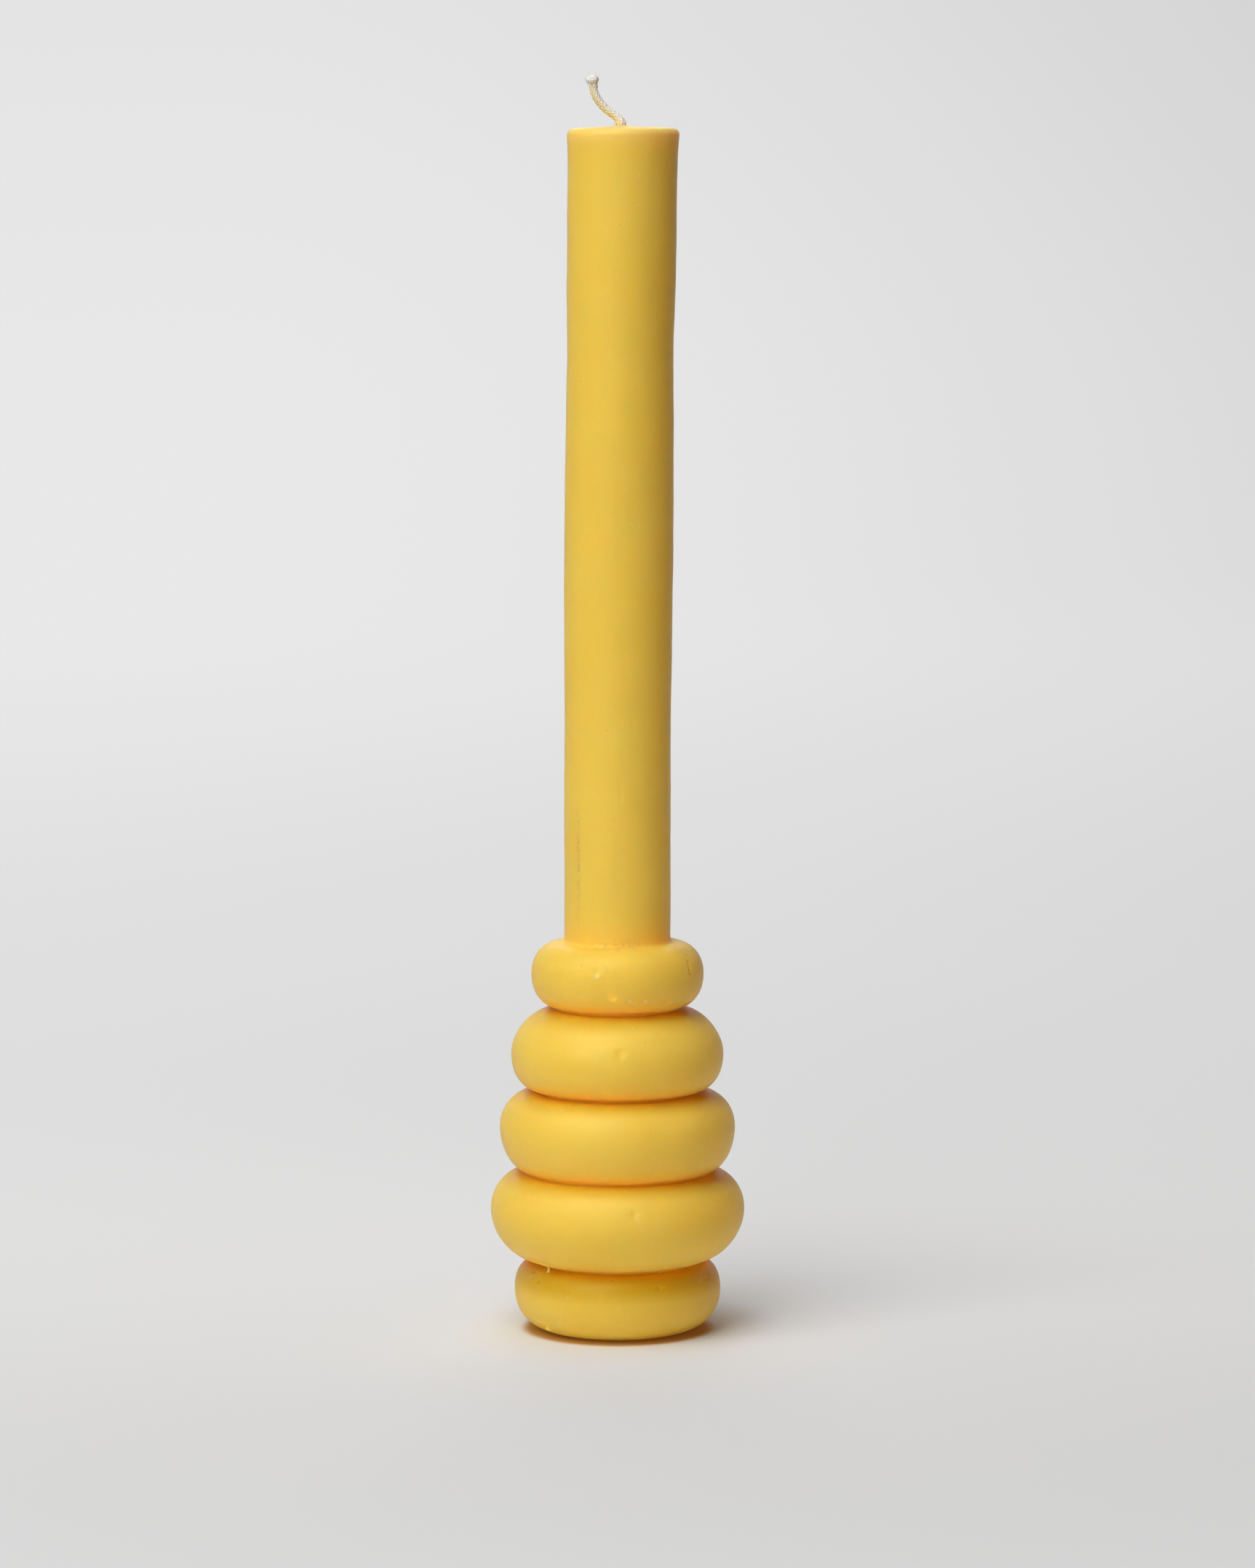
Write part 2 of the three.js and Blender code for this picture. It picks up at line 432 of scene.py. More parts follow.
@dataclass(frozen=True)
class CottonFinish:
    """Cotton yarn that is soaked with yellow wax on one side and dry and pale elsewhere."""

    dry_colour: Colour = (0.96, 0.95, 0.90, 1.0)
    soaked_colour: Colour = (0.92, 0.79, 0.47, 1.0)
    roughness: float = 0.75
    see_through: float = 0.12
    blotch_scale: float = 1.6
    blotch_strength: float = 0.7
    fibre_scale: float = 4.0
    fibre_relief: float = 0.03 * MM
    relief_strength: float = 0.3

    def build(self) -> bpy.types.Material:
        """Build the wick's material.

        Returns:
            The finished material.
        """
        nodes = Nodes("waxed_cotton")
        place = nodes.object_place(1 / MM)
        shader = nodes.add("ShaderNodeBsdfPrincipled")
        blotches = nodes.math("SUBTRACT", nodes.noise(place, self.blotch_scale, 4.0), 0.5)
        blotches = nodes.math("MULTIPLY", blotches, self.blotch_strength)
        share = nodes.ramp(nodes.math("ADD", nodes.painted("soak"), blotches), 0.15, 0.85)
        colour = nodes.mix(share, self.dry_colour, self.soaked_colour)
        nodes.join(colour, shader.inputs["Base Color"])
        bump = nodes.add("ShaderNodeBump")
        bump.inputs["Strength"].default_value = self.relief_strength
        bump.inputs["Distance"].default_value = self.fibre_relief
        nodes.join(nodes.noise(place, self.fibre_scale, 2.0), bump.inputs["Height"])
        nodes.join(bump.outputs["Normal"], shader.inputs["Normal"])
        shader.inputs["Roughness"].default_value = self.roughness
        through = nodes.add("ShaderNodeBsdfTranslucent")
        nodes.join(colour, through.inputs["Color"])
        blend = nodes.add("ShaderNodeMixShader")
        blend.inputs["Fac"].default_value = self.see_through
        nodes.join(shader.outputs["BSDF"], blend.inputs[1])
        nodes.join(through.outputs["BSDF"], blend.inputs[2])
        return nodes.finish(blend.outputs[0])


@dataclass(frozen=True)
class SweepFinish:
    """Plain pale matt floor and backdrop, lit near the candle and glowing pale further away.

    The floor under the candle gets a painted orange-brown contact shade and a faint orange glow,
    painted light standing in for the light that leaks through the wax, and the floor towards the
    camera is darker by painted shade. Glow is the paleness that a look, a gloss or a clear piece
    meets, with painted shade on the right, near by and higher up, and bounce the paleness that
    lights the candle. Each start and end is a distance at which a change begins and is complete.
    """

    colour: float = 0.97
    # painted shade: the floor goes darker towards the camera
    front_shade_colour: float = 0.67
    front_shade_start: float = 0.2
    front_shade_end: float = -0.22
    bounce_near: float = 0.85
    bounce_far: float = 0.1
    fade_start: float = 0.3
    fade_end: float = 0.8
    # painted contact shade: the floor round the base is darkened orange-brown, standing in for the
    # base's shadow coloured by light that passes through the wax
    contact_shade_colour: Colour = (0.50, 0.26, 0.05, 1.0)
    contact_shade_start: float = 20.5 * MM
    contact_shade_end: float = 23.8 * MM
    # painted light: the floor round the base glows faintly orange
    leaked_light_colour: Colour = (1.0, 0.40, 0.07, 1.0)
    leaked_light: float = 0.05
    # painted shade: the far glow is a little darker on the right, near by and higher up
    glow_left: float = 0.81
    glow_right: float = 0.6
    glow_start: float = -0.3
    glow_end: float = 0.65
    left_end: float = -0.3
    right_end: float = 1.2
    near_dip: float = -0.07
    near_start: float = 2.0
    near_end: float = 0.4
    high_dip: float = -0.06
    high_start: float = 0.05
    high_end: float = 0.6
    roughness: float = 0.85

    def glow(
        self, nodes: Nodes, spot: bpy.types.Node, away: bpy.types.NodeSocket
    ) -> bpy.types.Node:
        """Make the pale light of the far sweep, with painted shade that darkens it a little on the
        right, near by and higher up.

        Args:
            nodes: the material that is being built.
            spot: the separated Object coordinates.
            away: distance from the candle along the floor.

        Returns:
            The emission node.
        """
        aside = nodes.ramp(spot.outputs["X"], self.left_end, self.right_end)
        span = self.glow_right - self.glow_left
        level = nodes.math("ADD", nodes.math("MULTIPLY", aside, span), self.glow_left)
        nearness = nodes.ramp(away, self.near_start, self.near_end)
        near = nodes.math("MULTIPLY", nearness, self.near_dip)
        rise = nodes.ramp(spot.outputs["Z"], self.high_start, self.high_end)
        high = nodes.math("MULTIPLY", rise, self.high_dip)
        glow = nodes.add("ShaderNodeEmission")
        nodes.join(nodes.math("ADD", level, nodes.math("ADD", near, high)), glow.inputs["Strength"])
        return glow

    def build(self) -> bpy.types.Material:
        """Build the sweep's material.

        Returns:
            The finished material.
        """
        nodes = Nodes("pale_sweep")
        place = nodes.object_place(1.0)
        spot = nodes.add("ShaderNodeSeparateXYZ")
        nodes.join(place, spot.inputs[0])
        across = nodes.math("MULTIPLY", spot.outputs["X"], spot.outputs["X"])
        along = nodes.math("MULTIPLY", spot.outputs["Y"], spot.outputs["Y"])
        away = nodes.math("SQRT", nodes.math("ADD", across, along))

        rays = nodes.add("ShaderNodeLightPath")
        fade = nodes.ramp(away, self.fade_start, self.fade_end)
        bounce = nodes.mix(fade, nodes.grey(self.bounce_near), nodes.grey(self.bounce_far))
        # painted shade darkens the floor towards the camera
        front_shade = nodes.ramp(spot.outputs["Y"], self.front_shade_start, self.front_shade_end)
        seen = nodes.mix(front_shade, nodes.grey(self.colour), nodes.grey(self.front_shade_colour))
        # painted contact shade and faint orange glow round the base
        contact_shade = nodes.ramp(away, self.contact_shade_end, self.contact_shade_start)
        seen = nodes.mix(contact_shade, seen, self.contact_shade_colour)
        shader = nodes.add("ShaderNodeBsdfPrincipled")
        colour = nodes.mix(rays.outputs["Is Diffuse Ray"], seen, bounce)
        nodes.join(colour, shader.inputs["Base Color"])
        shader.inputs["Roughness"].default_value = self.roughness
        shader.inputs["Emission Color"].default_value = self.leaked_light_colour
        nodes.join(nodes.math("MULTIPLY", contact_shade, self.leaked_light), shader.inputs["Emission Strength"])

        shows = nodes.math("MAXIMUM", rays.outputs["Is Camera Ray"], rays.outputs["Is Glossy Ray"])
        shows = nodes.math("MAXIMUM", shows, rays.outputs["Is Transmission Ray"])
        share = nodes.math("MULTIPLY", shows, nodes.ramp(away, self.glow_start, self.glow_end))
        clear = nodes.ramp(away, self.contact_shade_start, 2 * self.contact_shade_end)
        share = nodes.math("MULTIPLY", share, clear)
        blend = nodes.add("ShaderNodeMixShader")
        nodes.join(share, blend.inputs["Fac"])
        nodes.join(shader.outputs["BSDF"], blend.inputs[1])
        nodes.join(self.glow(nodes, spot, away).outputs[0], blend.inputs[2])
        return nodes.finish(blend.outputs[0])


RINGS = (
    RingSize(24.4 * MM, 10.0 * MM, 6.7 * MM, 19.7 * MM, 2.2, 2.15),
    RingSize(30.0 * MM, 12.1 * MM, 9.3 * MM, 22.2 * MM, 1.85, 2.0),
    RingSize(27.85 * MM, 10.2 * MM, 9.0 * MM, 19.3 * MM, 1.85, 2.1),
    RingSize(25.05 * MM, 8.7 * MM, 11.0 * MM, 14.9 * MM, 2.1, 1.8),
    RingSize(20.3 * MM, 7.9 * MM, 7.5 * MM, 13.5 * MM, 2.05, 2.15),
)

MARKS = (
    Mark("ring_1_blister", -14.0, 87.6 * MM, 2.6 * MM, 0.16 * MM, Falloff.DOMED),
    Mark("ring_1_blister_hollow", -13.0, 88.0 * MM, 1.5 * MM, -0.22 * MM),
    Mark("ring_1_blister_rim", -13.5, 86.7 * MM, 0.9 * MM, 0.12 * MM, tint=-0.5),
    Mark("ring_1_dimple", -25.6, 88.9 * MM, 0.9 * MM, -0.28 * MM, tint=0.25),
    Mark("ring_1_dimple_low", -25.0, 82.6 * MM, 0.9 * MM, -0.15 * MM),
    Mark("ring_1_pit", -2.7, 81.9 * MM, 0.45 * MM, -0.55 * MM, tint=0.5),
    Mark("ring_1_pit_low", -2.5, 81.5 * MM, 0.45 * MM, -0.45 * MM, tint=0.5),
    Mark("ring_1_pit_right", 38.0, 80.2 * MM, 0.5 * MM, -0.4 * MM, tint=0.5),
    Mark("ring_1_pit_right_top", 39.2, 80.7 * MM, 0.4 * MM, -0.35 * MM, tint=0.4),
    Mark("ring_1_bubble_left", 8.3, 80.9 * MM, 0.7 * MM, -0.14 * MM, tint=-0.5),
    Mark("ring_1_bubble_middle", 12.0, 80.2 * MM, 0.5 * MM, 0.1 * MM, tint=-0.4),
    Mark("ring_1_bubble_right", 19.7, 80.7 * MM, 0.7 * MM, -0.14 * MM, tint=-0.6),
    Mark("ring_1_scratch_low", 56.5, 86.4 * MM, 0.6 * MM, -0.22 * MM, tint=0.6),
    Mark("ring_1_scratch", 57.0, 87.3 * MM, 0.6 * MM, -0.26 * MM, tint=0.6),
    Mark("ring_1_scratch_high", 57.5, 88.2 * MM, 0.6 * MM, -0.26 * MM, tint=0.6),
    Mark("ring_1_scratch_top", 58.0, 89.1 * MM, 0.6 * MM, -0.2 * MM, tint=0.6),
    Mark("ring_1_scratch_edge", 54.0, 87.8 * MM, 1.0 * MM, 0.1 * MM, tint=-0.3),
    Mark("ring_2_dent", 1.8, 69.3 * MM, 1.4 * MM, -0.3 * MM),
    Mark("ring_2_dent_low", 0.4, 67.0 * MM, 1.8 * MM, -0.2 * MM, fine=False),
    Mark("ring_2_pit", -6.0, 60.2 * MM, 0.5 * MM, -0.35 * MM, tint=0.3),
    Mark("ring_2_hollow", -20.0, 64.5 * MM, 3.5 * MM, -0.16 * MM, fine=False),
    Mark("ring_2_pit_right", 72.0, 71.2 * MM, 0.5 * MM, -0.35 * MM, tint=0.4),
    Mark("ring_3_speck", -32.2, 55.5 * MM, 0.5 * MM, 0.3 * MM, Falloff.DOMED, tint=-0.8),
    Mark("ring_3_hollow", 24.0, 52.0 * MM, 6.0 * MM, -0.18 * MM, fine=False),
    Mark("ring_4_dent", 8.1, 32.4 * MM, 1.3 * MM, -0.28 * MM, tint=0.15),
    Mark("ring_4_lump", 10.0, 30.9 * MM, 1.3 * MM, 0.12 * MM, tint=-0.25),
    Mark("ring_4_hollow", -30.0, 22.5 * MM, 7.0 * MM, -0.2 * MM, fine=False),
    Mark("ring_4_pit", -5.0, 28.9 * MM, 0.4 * MM, -0.25 * MM, tint=0.6),
    Mark("ring_4_pit_right", 42.9, 22.5 * MM, 0.4 * MM, -0.25 * MM, tint=0.7),
    Mark("ring_4_bite", -50.7, 18.7 * MM, 1.9 * MM, -0.7 * MM, drop=-0.8 * MM),
    Mark("ring_4_bite_right", -46.6, 18.2 * MM, 1.6 * MM, -0.4 * MM, drop=-0.5 * MM),
    Mark("ring_5_pit_left", -61.0, 15.3 * MM, 0.8 * MM, -0.25 * MM, tint=0.4),
    Mark("ring_5_dimple", -51.8, 13.9 * MM, 0.8 * MM, -0.25 * MM, tint=0.3),
    Mark("ring_5_dot_left", -27.6, 12.8 * MM, 0.4 * MM, -0.25 * MM, tint=0.6),
    Mark("ring_5_dot", -3.3, 15.5 * MM, 0.4 * MM, -0.2 * MM, tint=0.6),
    Mark("ring_5_dot_right", 38.3, 15.6 * MM, 0.4 * MM, -0.2 * MM, tint=0.6),
    Mark("ring_5_pit", 24.5, 13.6 * MM, 0.45 * MM, -0.35 * MM, tint=0.3),
    Mark("ring_5_flake", -50.0, 2.3 * MM, 0.9 * MM, 0.9 * MM, tint=-0.8),
    Mark("column_pit", 61.0, 250.0 * MM, 0.5 * MM, -0.3 * MM, tint=-0.5),
    Mark("column_dot", 3.3, 127.9 * MM, 0.35 * MM, -0.25 * MM, tint=0.7),
    Mark("column_scratch", 1.5, 106.4 * MM, 0.7 * MM, -0.1 * MM),
    Mark("column_scratch_right", 5.5, 106.6 * MM, 0.7 * MM, -0.1 * MM),
)

SCUFFS = (
    Scuff(78.0, 75.6 * MM, 5.5 * MM, 2.4 * MM),
    Scuff(80.0, 55.9 * MM, 5.5 * MM, 2.6 * MM),
    Scuff(84.0, 36.4 * MM, 6.0 * MM, 2.6 * MM),
    Scuff(64.0, 14.8 * MM, 6.0 * MM, 2.4 * MM),
    Scuff(-64.0, 15.2 * MM, 4.5 * MM, 2.2 * MM),
    Scuff(60.0, 91.4 * MM, 4.0 * MM, 1.6 * MM),
    Scuff(0.0, 92.9 * MM, 9.0 * MM, 0.8 * MM),
    Scuff(-46.9, 112.0 * MM, 0.8 * MM, 19.0 * MM),
)


@dataclass
class WaxBody:
    """The wax casting: stacked rings, the bowed column and the channel that the wick fills."""

    rings: tuple[RingSize, ...] = RINGS
    marks: tuple[Mark, ...] = MARKS
    scuffs: tuple[Scuff, ...] = SCUFFS
    finish: WaxFinish = field(default_factory=WaxFinish)
    crease_width: float = 0.6 * MM
    base_flat_radius: float = 13.8 * MM
    column_foot_radius: float = 12.5 * MM
    column_height: float = 191 * MM
    column_bow: float = 1.35 * MM
    column_girths: tuple[tuple[float, float], ...] = (
        (0 * MM, 0.0 * MM),
        (50 * MM, 0.0 * MM),
        (91 * MM, 0.27 * MM),
        (118 * MM, 0.12 * MM),
        (139 * MM, -0.07 * MM),
        (156 * MM, 0.22 * MM),
        (182 * MM, 0.25 * MM),
    )
    foot_fillet: float = 1.0 * MM
    lip_flare: float = 0.4 * MM
    lip_length: float = 4.0 * MM
    top_edge_radius: float = 1.6 * MM
    top_crown: float = 0.45 * MM
    bore_radius: float = 1.3 * MM
    bore_exit_offset: float = -0.45 * MM
    collar_radius: float = 2.4 * MM
    collar_height: float = 0.22 * MM
    # painted shade under the overhangs, reaching further down the lowest ring
    lowest_shade: Shade = Shade(-0.3, 0.6, 1.0)
    ring_shade: Shade = Shade(0.6, 1.0, 0.85)
    # painted highlight: the lip at the column's top is paler where the light from above falls on it
    rim_highlight_depth: float = 2 * MM
    rim_highlight_fade: float = 5 * MM
    rim_highlight_tint: float = -0.3
    swell: tuple[float, float] = (15 * MM, 0.3 * MM)
    ripple: tuple[float, float] = (2.6 * MM, 0.05 * MM)
    turn_steps: int = 162
    ring_steps: int = 29
    column_rows: int = 104
    fillet_steps: int = 6
    lip_steps: int = 8
    dome_steps: int = 24
    bore_steps: int = 24

    def base_height(self) -> float:
        """Return the height of the stacked rings."""
        return sum(ring.below + ring.above for ring in self.rings)

    def height(self) -> float:
        """Return the height of the wax without its collar."""
        return self.base_height() + self.column_height

    def ring_outline(self) -> Outline:
        """Trace the stacked rings from the flat base to the column's fillet.

        Returns:
            Points as (radius, height), from the base up.
        """
        outline: Outline = []
        bottom = 0.0
        inner_below = self.base_flat_radius
        half_below = 0.0
        for ring in self.rings:
            top_ring = ring is self.rings[-1]
            middle = bottom + ring.below
            half_above = 0.0 if top_ring else self.crease_width / 2
            wall = (ring.radius, middle)
            fall = -(ring.below - half_below)
            rise = ring.above - half_above
            lower = quarter_arc(wall, inner_below, fall, ring.full_below, self.ring_steps)
            upper = quarter_arc(wall, ring.crease, rise, ring.full_above, self.ring_steps)
            outline += lower[::-1] + upper[1:]
            bottom += ring.below + ring.above
            inner_below = ring.crease
            half_below = self.crease_width / 2
        return outline

    def column_radius(self, rise: float) -> float:
        """Return the column's radius at a height over its foot."""
        past_lip = rise - self.column_height + self.top_edge_radius
        flare = self.lip_flare * math.exp(past_lip / self.lip_length)
        return self.column_foot_radius + smooth_between(self.column_girths, rise) + flare

    def column_outline(self) -> Outline:
        """Trace the foot's fillet, the column's wall, the rounded lip, the dome and the collar.

        Returns:
            Points as (radius, height), from the foot to the edge of the wick's channel.
        """
        foot = self.base_height()
        outline: Outline = []
        for step in range(1, self.fillet_steps + 1):
            angle = step / self.fillet_steps * math.pi / 2
            radius = self.column_foot_radius + self.foot_fillet * (1 - math.sin(angle))
            outline.append((radius, foot + self.foot_fillet * (1 - math.cos(angle))))
        edge = self.column_height - self.top_crown - self.top_edge_radius
        for row in range(1, self.column_rows + 1):
            rise = self.foot_fillet + (edge - self.foot_fillet) * row / self.column_rows
            outline.append((self.column_radius(rise), foot + rise))
        lip = (self.column_radius(edge), foot + edge)
        shoulder = lip[0] - self.top_edge_radius
        outline += quarter_arc(lip, shoulder, self.top_edge_radius, 2.0, self.lip_steps)[1:]
        collar = self.collar_radius - self.bore_radius
        for step in range(1, self.dome_steps + 1):
            inwards = 1 - (1 - step / self.dome_steps) ** 1.6
            radius = shoulder + (self.bore_radius - shoulder) * inwards
            dome = self.height() - self.top_crown * (radius / shoulder) ** 2
            near = max(0.0, 1 - (radius - self.bore_radius) / collar)
            outline.append((radius, dome + self.collar_height * near * near))
        return outline

    def bore_outline(self) -> Outline:
        """Trace the channel's wall from the collar down to the base."""
        top = self.height() + self.collar_height
        steps = self.bore_steps
        return [(self.bore_radius, top * (1 - step / steps)) for step in range(1, steps + 1)]

    def turn(self) -> bpy.types.Object:
        """Draw the outline vertex by vertex and spin it once round the axis.

        Returns:
            The closed wax body, still straight and smooth.
        """
        base = [(self.base_flat_radius * share, 0.0) for share in (0.3, 0.55, 0.8)]
        outline = base + self.ring_outline() + self.column_outline() + self.bore_outline()
        deselect_everything()
        bpy.ops.mesh.primitive_plane_add(size=1 * MM, location=(self.bore_radius, 0, 0))
        body = bpy.context.object
        body.name = "wax_casting"
        bpy.ops.object.transform_apply(location=True, rotation=True, scale=True)
        bpy.ops.object.mode_set(mode="EDIT")
        bpy.ops.mesh.select_mode(type="VERT")
        bpy.ops.mesh.select_all(action="SELECT")
        bpy.ops.mesh.merge(type="CENTER")
        here = (self.bore_radius, 0.0)
        for radius, height in outline:
            step = (radius - here[0], 0.0, height - here[1])
            bpy.ops.mesh.extrude_region_move(TRANSFORM_OT_translate={"value": step})
            here = (radius, height)
        bpy.ops.mesh.select_all(action="SELECT")
        bpy.ops.mesh.spin(
            steps=self.turn_steps, angle=2 * math.pi, center=(0, 0, 0), axis=(0, 0, 1)
        )
        bpy.ops.mesh.select_all(action="SELECT")
        bpy.ops.mesh.remove_doubles(threshold=0.004 * MM)
        bpy.ops.mesh.normals_make_consistent(inside=False)
        bpy.ops.object.mode_set(mode="OBJECT")
        return body

    def skin_place(self, bearing: float, height: float) -> tuple[Point, Point]:
        """Find the wax's skin at a bearing and a height.

        Args:
            bearing: angle about the axis in degrees, 0 towards the camera, 90 to the right.
            height: height over the table.

        Returns:
            The point on the skin and the level direction that points outwards there.
        """
        outline = self.ring_outline() + self.column_outline()
        walls = [point for point in outline if point[0] > self.column_foot_radius * 0.99]
        radius = min(walls, key=lambda point: abs(point[1] - height))[0]
        angle = math.radians(bearing)
        outwards = (math.sin(angle), -math.cos(angle), 0.0)
        return (outwards[0] * radius, outwards[1] * radius, height), outwards

    def refine_near(self, body: bpy.types.Object, centre: Vector, reach: float) -> None:
        """Subdivide the faces near a mark, so that it can be shaped finely."""
        found = select_vertices(body, lambda place: (place - centre).length < reach * 1.6)
        if found:
            bpy.ops.mesh.select_mode(type="FACE")
            bpy.ops.mesh.subdivide(number_cuts=2)
            bpy.ops.mesh.select_mode(type="VERT")

    def press_marks(self, body: bpy.types.Object) -> None:
        """Pull each dent and bump out of the skin with a soft pull that fades."""
        make_active(body)
        bpy.ops.object.mode_set(mode="EDIT")
        for mark in self.marks:
            place, outwards = self.skin_place(mark.bearing, mark.height)
            centre = Vector(place)
            if mark.fine:
                self.refine_near(body, centre, mark.reach)
            nearest = min((v.co - centre).length for v in body.data.vertices)
            limit = nearest + 0.02 * MM
            select_vertices(body, lambda spot: (spot - centre).length < limit)
            bpy.ops.transform.translate(
                value=(outwards[0] * mark.lift, outwards[1] * mark.lift, -mark.drop),
                use_proportional_edit=True,
                proportional_edit_falloff=mark.falloff.value,
                proportional_size=mark.reach,
            )
        bpy.ops.object.mode_set(mode="OBJECT")

    def bow(self, body: bpy.types.Object) -> None:
        """Lean the column sideways by a pull at its top that fades as a square to its foot."""
        make_active(body)
        bpy.ops.object.mode_set(mode="EDIT")
        top = self.height() - self.top_edge_radius
        select_vertices(body, lambda place: place.z > top)
        bpy.ops.transform.translate(
            value=(self.column_bow, 0, 0),
            use_proportional_edit=True,
            proportional_edit_falloff="SHARP",
            proportional_size=self.column_height,
        )
        bpy.ops.object.mode_set(mode="OBJECT")

    def roughen(self, body: bpy.types.Object) -> None:
        """Give the skin the slight unevenness of a hand-poured casting."""
        skin = body.vertex_groups.new(name="skin")
        for vertex in body.data.vertices:
            around = math.hypot(vertex.co.x, vertex.co.y)
            above_table = min(1.0, vertex.co.z / (3 * MM))
            off_bore = clamp((around - 2 * self.bore_radius) / (4 * MM))
            skin.add([vertex.index], above_table * off_bore, "REPLACE")
        for name, (grain, strength) in (("swell", self.swell), ("ripple", self.ripple)):
            texture = bpy.data.textures.new(f"wax_{name}", type="CLOUDS")
            texture.noise_scale = grain
            modifier = body.modifiers.new(name, "DISPLACE")
            modifier.texture = texture
            modifier.texture_coords = "LOCAL"
            modifier.strength = strength
            modifier.mid_level = 0.5
            modifier.vertex_group = "skin"
            apply_modifier(body, name)

    def speck_shares(self, height: float) -> tuple[float, float]:
        """Return how thickly pale specks and dark grit lie at a height, each from 0 to 1."""
        bottom = 0.0
        for ring in self.rings:
            middle = bottom + ring.below
            top = middle + ring.above
            if height < middle:
                return min(1.0, 1.5 * (middle - height) / ring.below), 0.1
            if height < top:
                return 0.15, min(1.0, 1.4 * (height - middle) / ring.above)
            bottom = top
        near_foot = max(0.0, 1 - abs(height - bottom - 0.6 * MM) / (1.6 * MM))
        return max(0.22, near_foot), 0.15

    def overhang_shade_share(self, height: float) -> float:
        """Return how deep the painted shade under an overhang is at a height, from 0 to 1."""
        bottom = 0.0
        for ring in self.rings[:-1]:
            middle = bottom + ring.below
            top = middle + ring.above
            if height < top:
                lowest = ring is self.rings[0]
                if height < middle:
                    share = (-0.5 if lowest else 0.5) * (middle - height) / ring.below
                else:
                    share = (height - middle) / ring.above
                shade = self.lowest_shade if lowest else self.ring_shade
                return shade.depth * ease(
                    clamp((share - shade.start) / (shade.end - shade.start))
                )
            bottom = top
        return 0.0

    def rim_highlight_share(self, height: float) -> float:
        """Return how near a height is to the lip at the column's top, where a highlight is painted,
        from 0 to 1.
        """
        return clamp(1 - (self.height() - self.rim_highlight_depth - height) / self.rim_highlight_fade)

    def paint_skin(self, body: bpy.types.Object) -> None:
        """Store the attributes of each vertex that the wax material reads."""
        names = ("scuff", "speck", "grit", "tint", "crease")
        for name in names:
            body.data.attributes.new(name, "FLOAT", "POINT")
        layers = {name: body.data.attributes[name] for name in names}
        tinted = [(self.skin_place(m.bearing, m.height)[0], m) for m in self.marks if m.tint]
        for vertex in body.data.vertices:
            place = vertex.co
            radius = math.hypot(place.x, place.y)
            bearing = math.degrees(math.atan2(place.x, -place.y))
            strongest = 0.0
            for scuff in self.scuffs:
                up = (place.z - scuff.height) / scuff.half_height
                if abs(up) < 1:
                    across = math.radians(bearing - scuff.bearing) * radius / scuff.half_width
                    strongest = max(strongest, 1 - math.hypot(across, up))
            # painted highlight on the top lip, added to the marks' own tints
            tint = self.rim_highlight_tint * self.rim_highlight_share(place.z)
            for centre, mark in tinted:
                if abs(place.z - centre[2]) < mark.reach:
                    near = 1 - (place - Vector(centre)).length / mark.reach
                    if near > 0:
                        tint += mark.tint * min(1.0, near * 1.7)
            speck, grit = self.speck_shares(place.z)
            scuffed = min(1.0, strongest * 1.6)
            # the "crease" attribute holds the painted shade under the overhangs
            values = (scuffed, speck, grit, tint, self.overhang_shade_share(place.z))
            for name, value in zip(names, values):
                layers[name].data[vertex.index].value = value

    def build(self) -> bpy.types.Object:
        """Build and dress the wax body, and put it in the place of its CAD node.

        Returns:
            The finished object.
        """
        body = self.turn()
        self.press_marks(body)
        self.paint_skin(body)
        self.bow(body)
        self.roughen(body)
        body.data.materials.clear()
        body.data.materials.append(self.finish.build())
        bpy.ops.object.shade_smooth()
        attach(body, "root")
        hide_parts("wax_body")
        return body


@dataclass
class Drip:
    """Thin torn thread of wax between the lower lip of ring 4 and the shoulder of ring 5."""

    finish: WaxFinish = WaxFinish(
        name="thin_wax",
        colour=(0.96, 0.72, 0.24, 1.0),
        scatter_depth=0.6 * MM,
        scatter_colour=(1.0, 0.8, 0.4),
    )
    top: Point = (-16.0 * MM, -16.9 * MM, 18.7 * MM)
    foot: Point = (-16.25 * MM, -14.2 * MM, 15.8 * MM)
    girths: tuple[float, ...] = (
        0.95 * MM,
        0.75 * MM,
        0.5 * MM,
        0.33 * MM,
        0.27 * MM,
        0.3 * MM,
        0.42 * MM,
        0.7 * MM,
    )
    sway: float = 0.14 * MM

    def build(self) -> bpy.types.Object:
        """Extrude the thread ring by ring from the lip to the shoulder.

        Returns:
            The finished object.
        """
        deselect_everything()
        bpy.ops.mesh.primitive_circle_add(
            vertices=10, radius=self.girths[0], fill_type="NGON", location=self.top
        )
        drip = bpy.context.object
        drip.name = "wax_drip"
        bpy.ops.object.transform_apply(location=True, rotation=True, scale=True)
        bpy.ops.object.mode_set(mode="EDIT")
        bpy.ops.mesh.select_all(action="SELECT")
        span = (Vector(self.foot) - Vector(self.top)) / (len(self.girths) - 1)
        here = Vector(self.top)
        for index, (before, after) in enumerate(zip(self.girths, self.girths[1:])):
            swing = Vector((self.sway * math.sin(2.2 * index), 0, 0))
            here = here + span + swing
            bpy.ops.mesh.extrude_region_move(TRANSFORM_OT_translate={"value": span + swing})
            scale = after / before
            bpy.ops.transform.resize(value=(scale, scale, 1), center_override=here)
        bpy.ops.mesh.select_all(action="SELECT")
        bpy.ops.mesh.normals_make_consistent(inside=False)
        bpy.ops.object.mode_set(mode="OBJECT")
        round_off = drip.modifiers.new("round_off", "SUBSURF")
        round_off.levels = 2
        round_off.render_levels = 2
        apply_modifier(drip, "round_off")
        bpy.ops.object.shade_smooth()
        drip.data.materials.append(self.finish.build())
        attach(drip, "root")
        return drip


